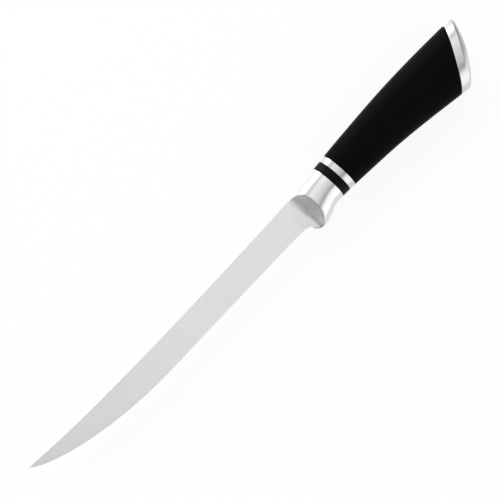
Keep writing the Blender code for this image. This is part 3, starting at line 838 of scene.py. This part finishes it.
def cap_steel():
    """Softly polished wall, and a duller satin dome greyed by painted shade."""
    material, tree, shader = steel("cap_steel", CAP_POLISH, CAP_ROUGHNESS)
    satin = grain(tree, DOME_SATIN)
    # Painted shade: grey colour over the dome, with its duller roughness
    dull_and_painted_shade = tinted(tree, satin, *DOME_SHADE_GREY)
    covered(tree, shader, marked(tree, "domed"), dull_and_painted_shade, ranged(tree, satin, *DOME_ROUGHNESS))
    return material


# Spacer
SPACER_BLACK = greys(0.0005, 0.0010)
SPACER_ROUGHNESS = (0.34, 0.42)
SPACER_GLOSS = 0.10
SPACER_CLOUD = (0.6, 0.6, 0.6)
SPACER_TOOTH = (6.0, 6.0, 6.0)
SPACER_RELIEF = 0.001


def black_spacer():
    """Smooth black plastic."""
    material, tree, shader = new_material("black_spacer", Specular_IOR_Level=SPACER_GLOSS)
    cloud = grain(tree, SPACER_CLOUD)
    surfaced(tree, shader, tinted(tree, cloud, *SPACER_BLACK), ranged(tree, cloud, *SPACER_ROUGHNESS))
    bumped(tree, shader, grain(tree, SPACER_TOOTH), SPACER_RELIEF)
    return material


# Grip
GRIP_BLACK = ((0.0014, 0.0014, 0.0015), (0.0022, 0.0022, 0.0023))
GRIP_ROUGHNESS = (0.42, 0.54)
GRIP_GLOSS = 0.034
GRIP_CLOUD = (0.12, 0.12, 0.12)
GRIP_PEBBLE = (4.5, 4.5, 4.5)
GRIP_RELIEF = 0.008


def soft_grip():
    """Matte soft-touch rubber with a fine pebble."""
    material, tree, shader = new_material("soft_grip_rubber", Specular_IOR_Level=GRIP_GLOSS)
    cloud = grain(tree, GRIP_CLOUD)
    pebble = grain(tree, GRIP_PEBBLE, detail=4.0)
    surfaced(tree, shader, tinted(tree, cloud, *GRIP_BLACK), ranged(tree, pebble, *GRIP_ROUGHNESS))
    bumped(tree, shader, pebble, GRIP_RELIEF)
    return material


# Pieces inside the handle
INNER_CLOUD = (0.8, 0.8, 0.8)
CORE_BLACK = greys(0.02, 0.035)
CORE_ROUGHNESS = (0.45, 0.55)
ZINC_GREY = ((0.5, 0.5, 0.52), (0.62, 0.62, 0.64))
ZINC_ROUGHNESS = (0.3, 0.4)


def inner_material(name, metallic, colours, roughness):
    """Plain finish of a hidden piece, with a little variation."""
    material, tree, shader = new_material(name, Metallic=metallic)
    cloud = grain(tree, INNER_CLOUD)
    surfaced(tree, shader, tinted(tree, cloud, *colours), ranged(tree, cloud, *roughness))
    return material


def dress_inner_nodes():
    """Finishes of the CAD pieces inside the handle."""
    core = inner_material("black_core_plastic", 0.0, CORE_BLACK, CORE_ROUGHNESS)
    plated = inner_material("plated_steel", 1.0, ZINC_GREY, ZINC_ROUGHNESS)
    finishes = {"grip_core": core, "tang_stud": plated, "nut_washer": plated, "tang_nut": plated}
    for node, material in finishes.items():
        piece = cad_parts[node]
        piece.data.materials.clear()
        piece.data.materials.append(material)


# Photographed view
CAMERA_DISTANCE = 2.1522
CAMERA_YAW = math.radians(8.6)
CAMERA_ROLL = math.radians(47.10)
CAMERA_SIGHT = 30.0
VIEW_WIDTH = 0.26903
LOOK_X = -32.56
LOOK_Y = 5.9
SENSOR = 36.0


def make_camera():
    """Camera over the blade, with the knife running from the lower left to the upper right."""
    along = Vector((math.cos(CAMERA_YAW), 0.0, math.sin(CAMERA_YAW)))
    across = Vector((0.0, 1.0, 0.0))
    forward = Vector((math.sin(CAMERA_YAW), 0.0, -math.cos(CAMERA_YAW)))
    right = along * math.cos(CAMERA_ROLL) - across * math.sin(CAMERA_ROLL)
    up = along * math.sin(CAMERA_ROLL) + across * math.cos(CAMERA_ROLL)
    look = ORIGIN + Vector((LOOK_X, LOOK_Y, 0.0)) * MM
    turn = Matrix((right, up, -forward)).transposed()
    data = bpy.data.cameras.new("camera")
    data.sensor_width = SENSOR
    data.lens = SENSOR * CAMERA_DISTANCE / VIEW_WIDTH
    data.clip_end = CAMERA_SIGHT
    camera = bpy.data.objects.new("camera", data)
    camera.matrix_world = Matrix.Translation(look - forward * CAMERA_DISTANCE) @ turn.to_4x4()
    bpy.context.scene.collection.objects.link(camera)
    bpy.context.scene.camera = camera


WORLD_LEVEL = 0.55
SEEING_RAYS = ("Is Camera Ray", "Is Glossy Ray", "Is Transmission Ray")


def ray_is(tree, *kinds):
    """One for rays of any of these kinds, and nought for others."""
    path = add_node(tree, "ShaderNodeLightPath")
    found = path.outputs[kinds[0]]
    for kind in kinds[1:]:
        found = calculated(tree, "MAXIMUM", found, path.outputs[kind])
    return found


def make_world():
    """White surroundings for the camera and for reflections, and a plain level of light."""
    world = bpy.data.worlds.new("studio")
    bpy.context.scene.world = world
    world.use_nodes = True
    tree = world.node_tree
    background = tree.nodes["Background"]
    background.inputs["Color"].default_value = (1.0, 1.0, 1.0, 1.0)
    strength = mixed(tree, ray_is(tree, *SEEING_RAYS), WORLD_LEVEL, 1.0, "FLOAT")
    plug(tree, background.inputs["Strength"], strength)


def show(tree, shader):
    """Makes a shader the one that the material shows."""
    tree.links.new(shader.outputs[0], tree.nodes["Material Output"].inputs["Surface"])


# Floor: its white, its glow, and how strongly reflections see it on each side of the knife
FLOOR_SIZE = 12.0
FLOOR_WHITE = (0.95, 0.95, 0.95)
FLOOR_GLOW = 0.9
FLOOR_EDGE_SIDE = 0.88
FLOOR_SPINE_SIDE = 1.22
FLOOR_SEAM = 0.02


def make_floor():
    """Plain white floor that keeps the knife's soft shadow, and reflects darker on the edge's side."""
    bpy.ops.mesh.primitive_plane_add(size=FLOOR_SIZE)
    floor = bpy.context.object
    floor.name = "floor"
    material, tree, shader = new_material(
        "floor_white",
        Base_Color=opaque(FLOOR_WHITE),
        Roughness=1.0,
        Specular_IOR_Level=0.0,
    )
    across = split_place(tree, world_place(tree))["Y"]
    sided = remapped(tree, across, -FLOOR_SEAM, FLOOR_SEAM, FLOOR_EDGE_SIDE, FLOOR_SPINE_SIDE)
    strength = mixed(tree, ray_is(tree, "Is Camera Ray"), sided, 1.0, "FLOAT")
    glow = add_node(tree, "ShaderNodeEmission", Strength=strength)
    share = calculated(tree, "MULTIPLY", ray_is(tree, *SEEING_RAYS), FLOOR_GLOW)
    mix = add_node(tree, "ShaderNodeMixShader", Fac=share)
    tree.links.new(shader.outputs[0], mix.inputs[1])
    tree.links.new(glow.outputs[0], mix.inputs[2])
    show(tree, mix)
    floor.data.materials.append(material)


# Softboxes, alike on both sides but for their power
LAMP_ALONG = 0.3
LAMP_ASIDE = 2.4
LAMP_HEIGHT = 1.6
LAMP_LENGTH = 3.0
LAMP_WIDTH = 1.6
SPINE_LAMP_POWER = 62.0
EDGE_LAMP_POWER = 23.0


def softbox(name, aside, power):
    """Large area lamp that looks at the knife."""
    data = bpy.data.lights.new(name, "AREA")
    data.shape = "RECTANGLE"
    data.size = LAMP_LENGTH
    data.size_y = LAMP_WIDTH
    data.energy = power
    lamp = bpy.data.objects.new(name, data)
    place = Vector((LAMP_ALONG, aside, LAMP_HEIGHT))
    lamp.location = place
    lamp.rotation_euler = (-place).to_track_quat("-Z", "Y").to_euler()
    lamp.visible_glossy = False
    bpy.context.scene.collection.objects.link(lamp)


# Tones that the steel reflects, by degrees across the knife (edge side to spine side) and along it
TENT_RADIUS = 4.0
RAMP_END = 90.0
ACROSS_PEAK = 4.4
ALONG_PEAK = 1.2
TENT_PEAK = ACROSS_PEAK * ALONG_PEAK
ACROSS_TONES = (
    (-90.0, 0.90),
    (-80.0, 1.15),
    (-52.0, 1.20),
    (-46.0, 1.15),
    (-38.0, 1.06),
    (-31.0, 0.84),
    (-25.0, 0.57),
    (-20.0, 0.44),
    (-15.0, 0.54),
    (-9.0, 0.66),
    (-2.0, 0.74),
    (6.0, 0.84),
    (14.0, 0.92),
    (24.0, 1.00),
    (34.0, 0.96),
    (42.0, 0.76),
    (50.0, 0.92),
    (57.0, 1.25),
    (64.0, 1.90),
    (72.0, 3.50),
    (80.0, ACROSS_PEAK),
    (85.0, 2.80),
    (90.0, 0.90),
)
ALONG_TONES = (
    (-90.0, 0.02),
    (-78.0, 0.22),
    (-62.0, 0.58),
    (-45.0, 0.72),
    (-30.0, 0.74),
    (-15.0, 0.84),
    (3.0, 0.97),
    (9.0, 1.07),
    (16.0, 1.03),
    (24.0, 1.08),
    (34.0, 1.18),
    (48.0, 1.10),
    (65.0, 0.55),
    (90.0, 0.45),
)

# Brightest tone by degrees along the knife, so that bright cards stand only beside the handle
MOST_TONES = (
    (-90.0, 0.90),
    (-22.0, 0.95),
    (-6.0, ACROSS_PEAK),
    (25.0, ACROSS_PEAK),
    (41.0, 0.95),
    (90.0, 0.80),
)


def tone_ramp(tree, angle, tones, peak):
    """Ramp of tones, as shares of their peak, over an angle in radians."""
    share = remapped(tree, angle, -math.radians(RAMP_END), math.radians(RAMP_END))
    ramp = add_node(tree, "ShaderNodeValToRGB", Fac=share)
    ramp.color_ramp.interpolation = "CARDINAL"
    stops = ramp.color_ramp.elements
    while len(stops) < len(tones):
        stops.new(0.5)
    for stop, (degrees, tone) in zip(stops, tones):
        stop.position = (degrees + RAMP_END) / (2 * RAMP_END)
        stop.color = opaque([tone / peak] * 3)
    return ramp.outputs["Color"]


def make_tent():
    """Reflector tent round the knife, which only reflections see."""
    bpy.ops.mesh.primitive_uv_sphere_add(radius=TENT_RADIUS)
    tent = bpy.context.object
    tent.name = "reflector_tent"
    material, tree, shader = new_material("tent_tones")
    tree.nodes.remove(shader)
    place = split_place(tree, world_place(tree))
    across = calculated(tree, "ARCTAN2", place["Y"], place["Z"])
    along = calculated(tree, "ARCSINE", calculated(tree, "DIVIDE", place["X"], TENT_RADIUS))
    across_tones = tone_ramp(tree, across, ACROSS_TONES, ACROSS_PEAK)
    along_tones = tone_ramp(tree, along, ALONG_TONES, ALONG_PEAK)
    most_tones = tone_ramp(tree, along, MOST_TONES, TENT_PEAK)
    tones = mixed(tree, 1.0, across_tones, along_tones, blend="MULTIPLY")
    tones = mixed(tree, 1.0, tones, most_tones, blend="DARKEN")
    show(tree, add_node(tree, "ShaderNodeEmission", Color=tones, Strength=TENT_PEAK))
    tent.data.materials.append(material)
    tent.visible_camera = False
    tent.visible_diffuse = False
    tent.visible_shadow = False
    tent.visible_transmission = False


bpy.context.scene.view_settings.view_transform = "Standard"
make_camera()
make_world()
make_floor()
make_tent()
softbox("spine_side", LAMP_ASIDE, SPINE_LAMP_POWER)
softbox("edge_side", -LAMP_ASIDE, EDGE_LAMP_POWER)

dress(make_blade(), "blade", satin_blade_steel())
dress(make_bolster(), "bolster", bolster_steel())
dress(make_collar("black_ring", SPACER_FRONT, SPACER_REAR), "spacer_ring", black_spacer())
dress(make_collar("polished_band", BAND_FRONT, BAND_REAR), "steel_band", band_steel())
dress(make_sleeve(), "grip_sleeve", soft_grip())
dress(make_cap(), "end_cap", cap_steel())
dress_inner_nodes()
